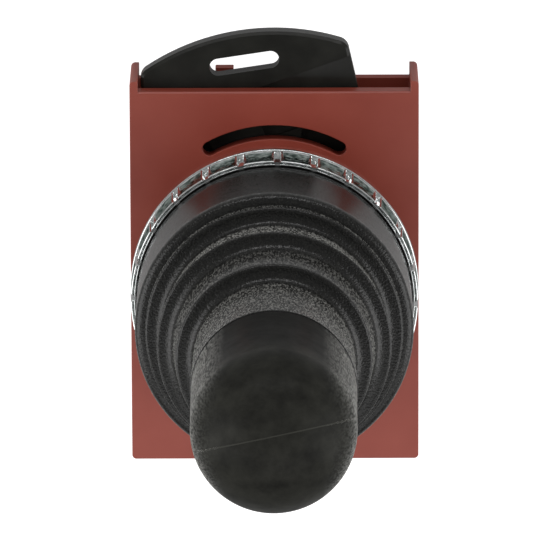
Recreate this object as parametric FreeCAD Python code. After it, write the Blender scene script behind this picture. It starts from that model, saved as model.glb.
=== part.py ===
import FreeCAD, Part
import math
import os

# Industrial joystick for a 22.5 mm panel hole. A rubber-booted lever tilts on a
# two-axis gimbal inside a notched metal bezel, and a moulded mounting adapter
# with a swinging latch holds the neck from behind the panel.
#
# The frame: the origin is on the lever's axis in the plane where the gasket
# meets the panel, +Z runs out through the knob, +Y is the latch's side.
# All lengths are in millimetres and all angles in degrees.

# Neck and panel
neck_r = 11.1
neck_wall = 2.3
neck_step_gap = 0.3
bayonet_step = 0.2
panel_gap = 10.3
small_bevel = 0.1
gasket_t = 0.9
gasket_proud = 0.4
gasket_w = 2.65
gasket_relief_w = 0.6
gasket_relief = 0.3

# Mounting adapter, which comes out 30 mm wide, the usual pitch of such devices
top_margin = 4.425
bottom_margin = 2.08
latch_side_gap = 0.21
adapter_depth = 9.7
front_plate_t = 2.0
rear_plate_t = 1.5
rear_plate_drop = 0.3
side_wall_t = 0.85
side_wall_rise = 1.1
bottom_wall_t = 1.0
adapter_corner_r = 0.45
adapter_bevel = 0.2
bore_clearance = 0.25
window_inset = 1.95
window_w = 1.5
window_half_angle = 29.0
tab_w = 1.9
tab_offset = 5.2
tab_h = 1.1
hook_slot_w = 5.0
hook_slot_h = 1.8
hook_slot_pitch = 9.0
hook_slot_edge = 1.6
key_w = 2.0
key_depth = 0.75

# Thrust screws that press on the back of the panel
thrust_screw_r = 1.5
thrust_screw_x = 4.4
thrust_boss_wall = 0.9
thrust_tip_r = 0.9
thrust_tip_h = 0.7
drive_slot_w = 0.6
drive_slot_depth = 0.8

# Latch lever
latch_ring_w = 2.7
latch_rest_angle = 8.5
latch_swing = 16.0
latch_reach = 5.85
latch_root_inset = 1.725
latch_flare = 1.1
latch_finger_t = 2.3
latch_corner_r = 1.3
latch_bevel = 0.3
latch_slot_len = 7.3
latch_slot_w = 1.8
latch_slot_inset = 3.1
latch_pocket_depth = 0.8
latch_pocket_angle = 20.5
latch_pocket_span = 24.0
latch_pocket_over = 1.3
latch_pocket_inset = 0.9
latch_facet_depth = 0.3
latch_facet_drop = 0.25
latch_facet_angle = 11.0
axial_play = 0.3

# Bayonet between latch and neck
lug_count = 3
lug_angle = 18.0
lug_t = 1.5
lug_depth = 0.75
lug_play = 0.2
lug_play_angle = 1.5
lug_inset = 0.6
lug_phase = 30.0

# Bezel ring
bezel_wall = 0.74
bezel_taper = 0.1
bezel_flange_step = 0.05
bezel_flange_h = 1.5
bezel_h = 6.1
bezel_base_t = 1.5
bezel_groove_depth = 0.18
bezel_groove_w = 0.35
bezel_edge = 0.12
notch_count = 24
notch_w = 0.83
notch_depth = 0.45
notch_phase = 1.4

# Bushing flange and boot clamp
flange_t = 1.6
flange_w = 1.1
clamp_ring_t = 1.4
clamp_screw_r = 0.8
clamp_screw_head_r = 1.4
clamp_screw_head_h = 0.7
clamp_screw_len = 4.0
clamp_screw_count = 3
clamp_screw_phase = 30.0
screw_slot_w = 0.4

# Rubber boot, with the step down in radius and up in height from fold to fold
boot_wall = 1.0
boot_foot_w = 1.5
boot_overhang = 0.14
boot_shoulder_z = 18.9
boot_shoulder_round = 0.9
crest_b_step = 1.08
crest_b_rise = 1.05
crest_c_step = 1.22
crest_c_rise = 5.35
crest_d_step = 1.99
crest_d_rise = 5.45
valley_inset = 1.65
boot_neck_wall = 1.5
boot_neck_taper = 0.2
boot_neck_len = 12.35
soft_gap = 0.1

# Lever, knob and what is fixed to them
pivot_z = 0.9
tilt_max = 12.0
shaft_stud_z = 38.0
stud_shoulder = 0.5
shaft_end_gap = 0.25
knob_r = 8.03
knob_seat_gap = 0.15
knob_body_len = 14.05
knob_body_extra = 0.07
knob_stem_r = 6.4
knob_stem_drop = 2.0
insert_wall = 1.2
insert_len = 12.0
insert_groove = 0.35
insert_groove_w = 3.0
insert_groove_rise = 4.5
hub_half_h = 2.2

# Gimbal
gimbal_half_h = 1.7
pin_seat_wall = 0.7
gimbal_pin_r = 0.8
running_clearance = 0.04
pin_end_gap = 0.1

# Centring spring and its collar
collar_w = 3.3
collar_t = 1.2
collar_z = 19.2
clip_t = 0.6
clip_w = 1.5
clip_groove = 0.5
centre_wire_r = 0.45
centre_spring_inset = 3.0
centre_spring_turns = 4
chords_per_turn = 10
wire_sides = 5

# Actuator plate, stroke limit and plungers
plate_drop = 5.6
plate_t = 1.2
tail_over = 0.6
nut_af = 5.5
nut_t = 2.0
plunger_side_gap = 0.25
plunger_gap = 0.5
plunger_collar_t = 0.8
plunger_tip_bevel = 0.4
plunger_up_gap = 0.6
plunger_guide_len = 3.0
plunger_end_inset = 0.6
limit_plate_t = 1.5
limit_plate_z = -8.0
limit_clearance = 0.15
ledge = 0.4
neck_end_inset = 0.4
cap_rim_w = 0.9
cap_screw_r = 0.7
cap_screw_head_r = 1.25
cap_screw_head_h = 0.6
cap_screw_len = 4.2
cap_screw_phase = 45.0
cap_seat_clearance = 0.05
plunger_wire_r = 0.17
plunger_spring_turns = 4

# What stands in the neck's cavity, as shares of the cavity's radius
shaft_share = 0.285
tail_share = 0.17
hub_share = 0.49
gimbal_in_share = 0.59
gimbal_out_share = 0.83
plate_share = 0.83
plunger_share = 0.125
plunger_collar_share = 0.227

# Radii that follow from the sizes above, from the axis outwards
bayonet_r = neck_r - bayonet_step
adapter_bore_r = bayonet_r + bore_clearance
cavity_r = neck_r - neck_wall
cap_r = cavity_r + ledge
flange_r = neck_r + flange_w
bezel_cup_r = flange_r + boot_foot_w + 2 * soft_gap
bezel_r_front = bezel_cup_r + bezel_wall
bezel_r_rear = bezel_r_front + bezel_taper
bezel_flange_r = bezel_r_rear + bezel_flange_step
latch_bore_r = bayonet_r + bore_clearance / 2
latch_ring_r = latch_bore_r + latch_ring_w
window_r_in = adapter_bore_r + window_inset
window_r_out = window_r_in + window_w
boot_r = bezel_cup_r + boot_overhang
crest_b_r = boot_r - crest_b_step
crest_c_r = crest_b_r - crest_c_step
crest_d_r = crest_c_r - crest_d_step
boot_neck_r = knob_stem_r + soft_gap + boot_neck_wall
shaft_r = cavity_r * shaft_share
tail_r = cavity_r * tail_share
stud_r = shaft_r - stud_shoulder
insert_r = stud_r + insert_wall
hub_r = cavity_r * hub_share
gimbal_r_in = cavity_r * gimbal_in_share
gimbal_r_out = cavity_r * gimbal_out_share
plate_r = cavity_r * plate_share
collar_r = shaft_r + collar_w
plunger_r = cavity_r * plunger_share
plunger_collar_r = cavity_r * plunger_collar_share
cap_inner_r = cap_r - cap_seat_clearance - cap_rim_w
plunger_circle_r = cap_inner_r - plunger_side_gap - plunger_collar_r
plunger_hole_r = plunger_r + running_clearance

# Sides of the adapter and of the latch's finger
thrust_boss_r = thrust_screw_r + thrust_boss_wall
thrust_screw_y = math.sqrt((latch_ring_r + lug_play + thrust_boss_r) ** 2 - thrust_screw_x ** 2)
adapter_top = latch_ring_r + top_margin
adapter_bottom = thrust_screw_y + thrust_boss_r + bottom_margin + bottom_wall_t
wall_top = adapter_top + side_wall_rise
latch_tip_r = adapter_top + latch_reach
latch_half_w_root = latch_ring_r - latch_root_inset
latch_half_w_tip = latch_half_w_root - latch_flare
latch_tip_y = math.sqrt(latch_tip_r ** 2 - latch_half_w_tip ** 2)
latch_lean = math.radians(latch_rest_angle)
latch_corner_x = latch_half_w_tip * math.cos(latch_lean) + latch_tip_y * math.sin(latch_lean)
cavity_x = latch_corner_x + latch_side_gap
side_x = cavity_x + side_wall_t
latch_slot_r = latch_tip_r - latch_slot_inset
latch_facet_r = adapter_top - latch_facet_drop

# Levels, from the rear to the knob
adapter_front_z = -panel_gap
adapter_rear_z = adapter_front_z - adapter_depth
cavity_front_z = adapter_front_z - front_plate_t
cavity_rear_z = adapter_rear_z + rear_plate_t
neck_rear_z = adapter_rear_z + neck_end_inset
neck_step_z = adapter_front_z + neck_step_gap
latch_front_z = cavity_front_z - axial_play
latch_rear_z = cavity_rear_z + axial_play
bezel_rear_z = gasket_proud
bezel_front_z = bezel_rear_z + bezel_h
base_top_z = gasket_t + bezel_base_t
flange_top_z = base_top_z + flange_t
clamp_top_z = flange_top_z + clamp_ring_t
plate_bottom_z = pivot_z - plate_drop
plate_top_z = plate_bottom_z + plate_t
limit_bottom_z = limit_plate_z - limit_plate_t
tail_end_z = limit_bottom_z - tail_over
plunger_travel = plunger_circle_r * math.radians(tilt_max)
plunger_tip_z = plate_bottom_z - plunger_gap
plunger_collar_top_z = limit_bottom_z - plunger_travel - plunger_up_gap
plunger_collar_bottom_z = plunger_collar_top_z - plunger_collar_t
plunger_end_z = neck_rear_z + plunger_end_inset
cap_floor_z = neck_rear_z + plunger_guide_len
crest_b_z = boot_shoulder_z + crest_b_rise
crest_c_z = crest_b_z + crest_c_rise
crest_d_z = crest_c_z + crest_d_rise
boot_neck_top_z = crest_d_z + boot_neck_len
boot_neck_top_r = boot_neck_r + boot_neck_taper
knob_rear_z = boot_neck_top_z + knob_seat_gap
knob_z = knob_rear_z + knob_body_len
knob_stem_z = shaft_stud_z - knob_stem_drop
insert_top_z = shaft_stud_z + insert_len
insert_groove_z = shaft_stud_z + insert_groove_rise

UP = FreeCAD.Vector(0, 0, 1)
ORIGIN = FreeCAD.Vector(0, 0, 0)
X_AXIS = FreeCAD.Vector(1, 0, 0)
Y_AXIS = FreeCAD.Vector(0, 1, 0)
MITRED = 1
NEARLY = 0.01


def upright(edge):
    """True for a straight edge along the lever's axis."""
    return abs(edge.tangentAt(0).z) > 1 - NEARLY


def near(a, b):
    return abs(a - b) < NEARLY


def vec(x, y, z=0.0):
    return FreeCAD.Vector(x, y, z)


def polar(r, angle, z=0.0):
    a = math.radians(angle)
    return vec(r * math.cos(a), r * math.sin(a), z)


def disc(r, z0, z1, x=0.0, y=0.0):
    return Part.makeCylinder(r, z1 - z0, vec(x, y, z0))


def ring(r_out, r_in, z0, z1):
    return disc(r_out, z0, z1).cut(disc(r_in, z0, z1))


def box(x0, x1, y0, y1, z0, z1):
    return Part.makeBox(x1 - x0, y1 - y0, z1 - z0, vec(x0, y0, z0))


def rod(r, start, end):
    """A round bar from one point to another."""
    return Part.makeCylinder(r, (end - start).Length, start, end - start)


def turned(shape, angle):
    """The shape turned about the lever's axis."""
    out = shape.copy()
    out.rotate(ORIGIN, UP, angle)
    return out


def revolve(profile):
    """A solid turned from a closed outline of (radius, height) points.

    A point with a third value is rounded with that radius where it lies between
    two straight runs.
    """
    edges = []
    last = None
    count = len(profile)
    for i, point in enumerate(profile):
        here = vec(point[0], 0, point[1])
        if len(point) == 2:
            entry = leave = here
            arc = None
        else:
            before = profile[i - 1]
            after = profile[(i + 1) % count]
            to_before = (vec(before[0], 0, before[1]) - here).normalize()
            to_after = (vec(after[0], 0, after[1]) - here).normalize()
            half = to_before.getAngle(to_after) / 2
            cut_back = point[2] / math.tan(half)
            entry = here + to_before * cut_back
            leave = here + to_after * cut_back
            middle = (to_before + to_after).normalize()
            centre = here + middle * (point[2] / math.sin(half))
            arc = Part.Arc(entry, centre - middle * point[2], leave).toShape()
        if last is not None:
            edges.append(Part.makeLine(last, entry))
        else:
            first = entry
        if arc is not None:
            edges.append(arc)
        last = leave
    edges.append(Part.makeLine(last, first))
    face = Part.Face(Part.Wire(edges))
    return face.revolve(ORIGIN, UP, 360)


def sector(r_in, r_out, z0, z1, angle_from, angle_to):
    """A slice of a ring between two angles."""
    a, b = polar(r_in, angle_from, z0), polar(r_out, angle_from, z0)
    c, d = polar(r_out, angle_to, z0), polar(r_in, angle_to, z0)
    middle = (angle_from + angle_to) / 2
    edges = [
        Part.makeLine(a, b),
        Part.Arc(b, polar(r_out, middle, z0), c).toShape(),
        Part.makeLine(c, d),
        Part.Arc(d, polar(r_in, middle, z0), a).toShape(),
    ]
    return Part.Face(Part.Wire(edges)).extrude(UP * (z1 - z0))


def curved_slot(r_in, r_out, z0, z1, half_angle, middle_angle):
    """A slot along an arc, with round ends."""
    r_mid = (r_in + r_out) / 2
    end_r = (r_out - r_in) / 2
    slot = sector(r_in, r_out, z0, z1, middle_angle - half_angle, middle_angle + half_angle)
    for side in (-1, 1):
        end = polar(r_mid, middle_angle + side * half_angle)
        slot = slot.fuse(disc(end_r, z0, z1, end.x, end.y))
    return slot.removeSplitter()


def coil(wire_r, z0, z1, turns, r_foot, r_top):
    """A coil, straight or conical: a helix walked in short chords, with a many-sided wire."""
    low = z0 + wire_r
    high = z1 - wire_r
    steps = turns * chords_per_turn
    path = []
    for i in range(steps + 1):
        share = i / steps
        path.append(polar(r_foot + share * (r_top - r_foot), share * turns * 360, low + share * (high - low)))
    along = (path[1] - path[0]).normalize()
    outward = (X_AXIS - along * X_AXIS.dot(along)).normalize()
    across = along.cross(outward)
    section = []
    for i in range(wire_sides + 1):
        turn = polar(wire_r, i * 360 / wire_sides)
        section.append(path[0] + outward * turn.x + across * turn.y)
    return Part.makePolygon(path).makePipeShell([Part.makePolygon(section)], True, False, MITRED)


def at(shape, x, y):
    out = shape.copy()
    out.translate(vec(x, y))
    return out


def plunger_places():
    """Each plunger's name with its place round the lever's axis."""
    for name, angle in (("right", 0), ("top", 90), ("left", 180), ("bottom", 270)):
        yield name, polar(plunger_circle_r, angle)


def panel_gasket():
    return ring(neck_r + bore_clearance + gasket_w, neck_r + bore_clearance, 0, gasket_t)


def bezel_ring():
    """Metal cup that frames the boot: rear flange, fine groove, notched band."""
    groove_z = bezel_rear_z + bezel_flange_h
    band_z = groove_z + bezel_groove_w
    gasket_seat_r = neck_r + 2 * bore_clearance + gasket_w
    body = revolve([
        (neck_r + bore_clearance, gasket_t),
        (gasket_seat_r, gasket_t),
        (gasket_seat_r, bezel_rear_z),
        (bezel_flange_r - bezel_edge, bezel_rear_z),
        (bezel_flange_r, bezel_rear_z + bezel_edge),
        (bezel_flange_r, groove_z - bezel_edge),
        (bezel_flange_r - bezel_groove_depth, groove_z),
        (bezel_r_rear - bezel_groove_depth, band_z - bezel_edge),
        (bezel_r_rear, band_z),
        (bezel_r_front, bezel_front_z - bezel_edge),
        (bezel_r_front - bezel_edge, bezel_front_z),
        (bezel_cup_r + notch_depth / 2, bezel_front_z),
        (bezel_cup_r, bezel_front_z - notch_depth),
        (bezel_cup_r, base_top_z),
        (neck_r + bore_clearance, base_top_z),
    ])
    cutter = box(bezel_r_rear - notch_depth, bezel_flange_r + notch_w,
                 -notch_w / 2, notch_w / 2, band_z, bezel_front_z + notch_w)
    for i in range(notch_count):
        angle = 90 - notch_phase + i * 360 / notch_count
        body = body.cut(turned(cutter, angle))
    return body


def bayonet_cuts():
    """L-shaped tracks in the neck: an axial way in and a run for the latch's turn."""
    floor_r = bayonet_r - lug_depth - lug_play
    lug_top = latch_front_z - lug_inset
    track_top = lug_top + lug_play
    track_bottom = lug_top - lug_t - lug_play
    half = lug_angle / 2 + lug_play_angle
    cuts = []
    for i in range(lug_count):
        middle = lug_phase + i * 360 / lug_count
        cuts.append(sector(floor_r, neck_r + lug_depth, neck_rear_z, track_top, middle - half, middle + half))
        cuts.append(sector(floor_r, neck_r + lug_depth, track_bottom, track_top,
                           middle - half - latch_swing, middle + half))
    return cuts


def operator_bushing():
    """Threadless neck with the flange that holds the bezel and the gimbal's seat."""
    body = revolve([
        (cap_r, neck_rear_z),
        (bayonet_r - small_bevel, neck_rear_z),
        (bayonet_r, neck_rear_z + small_bevel),
        (bayonet_r, neck_step_z - bayonet_step),
        (neck_r, neck_step_z),
        (neck_r, 0),
        (neck_r - gasket_relief, 0),
        (neck_r - gasket_relief, gasket_relief_w),
        (neck_r, gasket_relief_w),
        (neck_r, base_top_z),
        (flange_r, base_top_z),
        (flange_r, flange_top_z),
        (cavity_r, flange_top_z),
        (cavity_r, limit_plate_z),
        (cap_r, limit_plate_z),
    ])
    for cut in bayonet_cuts():
        body = body.cut(cut)
    key_top = adapter_front_z + lug_play
    keyway = box(-key_w / 2 - lug_play, key_w / 2 + lug_play,
                 bayonet_r - key_depth - lug_play, neck_r + key_depth, neck_rear_z, key_top)
    body = body.cut(keyway)
    pin_seat_r = neck_r - pin_seat_wall
    pin_line = rod(gimbal_pin_r, vec(-pin_seat_r, 0, pivot_z), vec(pin_seat_r, 0, pivot_z))
    body = body.cut(pin_line)
    for place in clamp_screw_places():
        body = body.cut(disc(clamp_screw_r, clamp_top_z - clamp_screw_len, clamp_top_z, place.x, place.y))
    return body


def clamp_screw_places():
    circle_r = (cavity_r + neck_r) / 2
    return [polar(circle_r, clamp_screw_phase + i * 360 / clamp_screw_count)
            for i in range(clamp_screw_count)]


def clamp_screw(place):
    """Countersunk screw with a straight drive slot."""
    head_z = clamp_top_z - clamp_screw_head_h
    shank = disc(clamp_screw_r, clamp_top_z - clamp_screw_len, head_z, place.x, place.y)
    head = Part.makeCone(clamp_screw_r, clamp_screw_head_r, clamp_screw_head_h, vec(place.x, place.y, head_z))
    slot = box(place.x - clamp_screw_head_r, place.x + clamp_screw_head_r,
               place.y - screw_slot_w / 2, place.y + screw_slot_w / 2,
               clamp_top_z - clamp_screw_head_h / 2, clamp_top_z)
    return shank.fuse(head).cut(slot).removeSplitter()


def boot_clamp_ring():
    """Flat ring that presses the boot's foot into the bezel."""
    body = ring(bezel_cup_r - boot_wall - soft_gap, cavity_r, flange_top_z, clamp_top_z)
    for place in clamp_screw_places():
        body = body.cut(disc(clamp_screw_r, flange_top_z, clamp_top_z, place.x, place.y))
        head_z = clamp_top_z - clamp_screw_head_h
        body = body.cut(Part.makeCone(clamp_screw_r, clamp_screw_head_r, clamp_screw_head_h,
                                      vec(place.x, place.y, head_z)))
    return body


def rubber_boot():
    """Moulded boot: foot under the clamp ring, four stepped folds and a long neck."""
    foot_r = bezel_cup_r - soft_gap
    valley_b_r = crest_b_r - valley_inset
    valley_c_r = crest_c_r - valley_inset
    valley_d_r = boot_neck_r - soft_gap
    inner_neck_r = knob_stem_r + soft_gap
    shoulder_valley_r = crest_b_r - soft_gap
    outer = [
        (foot_r, base_top_z),
        (foot_r, bezel_front_z - soft_gap),
        (boot_r, bezel_front_z + soft_gap),
        (boot_r, boot_shoulder_z, boot_shoulder_round),
        (shoulder_valley_r + soft_gap, boot_shoulder_z + soft_gap),
        (crest_b_r, crest_b_z),
        (valley_b_r, crest_b_z - soft_gap),
        (crest_c_r, crest_c_z),
        (valley_c_r, crest_c_z - soft_gap),
        (crest_d_r, crest_d_z),
        (valley_d_r, crest_d_z - soft_gap),
        (boot_neck_top_r, boot_neck_top_z),
    ]
    inner = [
        (inner_neck_r, boot_neck_top_z),
        (inner_neck_r, crest_d_z - boot_wall),
        (crest_d_r - boot_wall, crest_d_z - boot_wall),
        (valley_c_r - boot_wall, crest_c_z - boot_wall),
        (crest_c_r - boot_wall, crest_c_z - boot_wall),
        (valley_b_r - boot_wall, crest_b_z - boot_wall),
        (crest_b_r - boot_wall, crest_b_z - boot_wall),
        (crest_b_r - boot_wall, boot_shoulder_z - boot_wall),
        (foot_r - boot_wall, boot_shoulder_z - 2 * boot_wall),
        (foot_r - boot_wall, flange_top_z),
        (flange_r + soft_gap, flange_top_z),
        (flange_r + soft_gap, base_top_z),
    ]
    return revolve(outer + inner)


def gimbal_ring():
    """Steel ring with two pairs of pin holes at right angles."""
    body = ring(gimbal_r_out, gimbal_r_in, pivot_z - gimbal_half_h, pivot_z + gimbal_half_h)
    for axis in (X_AXIS, Y_AXIS):
        reach = axis * (gimbal_r_out + gimbal_pin_r)
        centre = vec(0, 0, pivot_z)
        body = body.cut(rod(gimbal_pin_r + running_clearance, centre - reach, centre + reach))
    return body


def gimbal_outer_pins():
    """Two pins along X, pushed from inside through the gimbal ring into blind holes in the neck."""
    pins = []
    for side in (-1, 1):
        inner_end = vec(side * (gimbal_r_in + pin_end_gap), 0, pivot_z)
        outer_end = vec(side * (neck_r - pin_seat_wall - pin_end_gap), 0, pivot_z)
        pins.append(rod(gimbal_pin_r, inner_end, outer_end))
    return Part.makeCompound(pins)


def gimbal_inner_pins():
    """Two pins along Y from the lever's hub into the gimbal ring."""
    pins = []
    for side in (-1, 1):
        inner_end = vec(0, side * (shaft_r + pin_end_gap), pivot_z)
        outer_end = vec(0, side * (gimbal_r_out - pin_end_gap), pivot_z)
        pins.append(rod(gimbal_pin_r, inner_end, outer_end))
    return Part.makeCompound(pins)


def lever_hub():
    """Barrel on the shaft that carries the inner pins."""
    body = ring(hub_r, shaft_r, pivot_z - hub_half_h, pivot_z + hub_half_h)
    for side in (-1, 1):
        start = vec(0, side * (shaft_r + pin_end_gap), pivot_z)
        end = vec(0, side * (hub_r + gimbal_pin_r), pivot_z)
        body = body.cut(rod(gimbal_pin_r, start, end))
    return body


def clip_groove_z():
    return collar_z + collar_t


def lever_shaft():
    """Turned steel rod: slotted stud for the knob, clip groove and a thin tail."""
    groove_low = clip_groove_z()
    return revolve([
        (0, tail_end_z),
        (tail_r - small_bevel, tail_end_z),
        (tail_r, tail_end_z + small_bevel),
        (tail_r, plate_top_z),
        (shaft_r, plate_top_z),
        (shaft_r, groove_low),
        (shaft_r - clip_groove, groove_low),
        (shaft_r - clip_groove, groove_low + clip_t),
        (shaft_r, groove_low + clip_t),
        (shaft_r, shaft_stud_z),
        (stud_r, shaft_stud_z),
        (stud_r, insert_top_z - shaft_end_gap),
        (0, insert_top_z - shaft_end_gap),
    ])


def knob():
    """Handle with a domed end and a stem in the boot's neck, bored for its insert."""
    rear_r = knob_r + knob_body_extra
    body = revolve([
        (0, knob_stem_z),
        (knob_stem_r, knob_stem_z),
        (knob_stem_r, knob_rear_z),
        (rear_r - small_bevel, knob_rear_z),
        (rear_r, knob_rear_z + small_bevel),
        (knob_r, knob_z),
        (0, knob_z),
    ])
    dome = Part.makeSphere(knob_r, vec(0, 0, knob_z), UP, 0, 90, 360)
    return body.fuse(dome).cut(disc(insert_r, knob_stem_z, insert_top_z)).removeSplitter()


def knob_insert():
    """Brass insert with a grip groove, screwed on the shaft's stud."""
    groove_r = insert_r - insert_groove
    return revolve([
        (stud_r, shaft_stud_z),
        (insert_r, shaft_stud_z),
        (insert_r, insert_groove_z),
        (groove_r, insert_groove_z),
        (groove_r, insert_groove_z + insert_groove_w),
        (insert_r, insert_groove_z + insert_groove_w),
        (insert_r, insert_top_z),
        (stud_r, insert_top_z),
    ])


def spring_collar():
    """Cup washer on the shaft that holds the centring spring's small end."""
    return revolve([
        (shaft_r + running_clearance, collar_z),
        (collar_r - collar_t / 2, collar_z),
        (collar_r, collar_z + collar_t / 2),
        (collar_r, collar_z + collar_t),
        (shaft_r + running_clearance, collar_z + collar_t),
    ])


def retaining_clip():
    """Open ring snapped into the shaft's groove above the collar."""
    inner_r = shaft_r - clip_groove
    low = clip_groove_z()
    body = ring(shaft_r + clip_w, inner_r, low, low + clip_t)
    mouth = box(0, shaft_r + 2 * clip_w, -inner_r / 2, inner_r / 2, low, low + clip_t)
    return body.cut(mouth)


def centering_spring():
    """Conical coil from the clamp ring up to the collar."""
    foot_z = clamp_top_z
    top_r = collar_r - collar_t / 2 - 2 * centre_wire_r
    foot_r = flange_r - centre_spring_inset
    return coil(centre_wire_r, foot_z, collar_z, centre_spring_turns, foot_r, top_r)


def actuator_plate():
    """Swash plate that presses the plungers."""
    return ring(plate_r, tail_r, plate_bottom_z, plate_top_z)


def plate_nut():
    """Hexagon nut under the actuator plate."""
    corner_r = nut_af / 2 / math.cos(math.radians(30))
    corners = [polar(corner_r, 60 * i, plate_bottom_z - nut_t) for i in range(7)]
    blank = Part.Face(Part.makePolygon(corners)).extrude(UP * nut_t)
    return blank.cut(disc(tail_r, plate_bottom_z - nut_t, plate_bottom_z))


def limit_half_width():
    """Half the gate's opening: the tail's swing at the gate's far face, both axes tilted."""
    tilt = math.radians(tilt_max)
    arm = pivot_z - limit_bottom_z
    return arm * math.tan(tilt) / math.cos(tilt) + tail_r / math.cos(tilt) ** 2 + limit_clearance


def stroke_limit_plate():
    """Steel plate whose square opening stops the lever's tail."""
    half = limit_half_width()
    body = disc(cap_r - cap_seat_clearance, limit_bottom_z, limit_plate_z)
    opening = box(-half, half, -half, half, limit_bottom_z, limit_plate_z)
    corners = [edge for edge in opening.Edges if upright(edge)]
    body = body.cut(opening.makeFillet(tail_r / 2, corners))
    for _, place in plunger_places():
        body = body.cut(disc(plunger_hole_r, limit_bottom_z, limit_plate_z, place.x, place.y))
    return body


def cap_screw_places():
    """Two screws on a diagonal, between the plungers."""
    return [polar(plunger_circle_r, cap_screw_phase + turn) for turn in (0, 180)]


def base_cap():
    """Cup that closes the neck and guides the plungers."""
    body = ring(cap_r - cap_seat_clearance, cap_inner_r, cap_floor_z, limit_bottom_z)
    body = body.fuse(disc(cap_r - cap_seat_clearance, neck_rear_z, cap_floor_z))
    for place in cap_screw_places():
        post_r = cap_screw_head_r + small_bevel
        body = body.fuse(disc(post_r, neck_rear_z, limit_bottom_z, place.x, place.y))
        body = body.cut(disc(cap_screw_r, neck_rear_z, neck_rear_z + cap_screw_len, place.x, place.y))
        body = body.cut(disc(cap_screw_head_r, neck_rear_z, neck_rear_z + cap_screw_head_h, place.x, place.y))
    for _, place in plunger_places():
        body = body.cut(disc(plunger_hole_r, neck_rear_z, cap_floor_z, place.x, place.y))
    return body.removeSplitter()


def cap_screws():
    """Cheese-head screws in the cap's rear face."""
    screws = []
    for place in cap_screw_places():
        head_top = neck_rear_z + cap_screw_head_h
        screw = disc(cap_screw_head_r, neck_rear_z, head_top, place.x, place.y)
        screw = screw.fuse(disc(cap_screw_r, neck_rear_z, neck_rear_z + cap_screw_len, place.x, place.y))
        slot = box(place.x - cap_screw_head_r, place.x + cap_screw_head_r,
                   place.y - screw_slot_w / 2, place.y + screw_slot_w / 2,
                   neck_rear_z, neck_rear_z + cap_screw_head_h / 2)
        screws.append(screw.cut(slot).removeSplitter())
    return Part.makeCompound(screws)


def plunger():
    """Round pin with a bevelled tip and the collar its spring pushes on."""
    return revolve([
        (0, plunger_end_z),
        (plunger_r, plunger_end_z),
        (plunger_r, plunger_collar_bottom_z),
        (plunger_collar_r, plunger_collar_bottom_z),
        (plunger_collar_r, plunger_collar_top_z),
        (plunger_r, plunger_collar_top_z),
        (plunger_r, plunger_tip_z - plunger_tip_bevel),
        (plunger_r - plunger_tip_bevel, plunger_tip_z),
        (0, plunger_tip_z),
    ])


def plunger_spring():
    mid_r = (plunger_r + plunger_collar_r) / 2 + plunger_wire_r / 2
    return coil(plunger_wire_r, cap_floor_z, plunger_collar_bottom_z, plunger_spring_turns, mid_r, mid_r)


def thrust_screw_places():
    """Both screws just outside the latch ring, below the bore."""
    return [vec(side * thrust_screw_x, -thrust_screw_y) for side in (-1, 1)]


def thrust_screws():
    """Slotted set screws with a turned-down tip, set flush with the front plate."""
    screws = []
    rear_z = adapter_rear_z + neck_end_inset
    tip_z = adapter_front_z - axial_play / 2
    for place in thrust_screw_places():
        screw = revolve([
            (0, rear_z),
            (thrust_screw_r, rear_z),
            (thrust_screw_r, tip_z - thrust_tip_h),
            (thrust_tip_r, tip_z - thrust_tip_h),
            (thrust_tip_r, tip_z),
            (0, tip_z),
        ])
        slot = box(-thrust_screw_r, thrust_screw_r, -drive_slot_w / 2, drive_slot_w / 2,
                   rear_z, rear_z + drive_slot_depth)
        screws.append(at(screw.cut(slot), place.x, place.y))
    return Part.makeCompound(screws)


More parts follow.
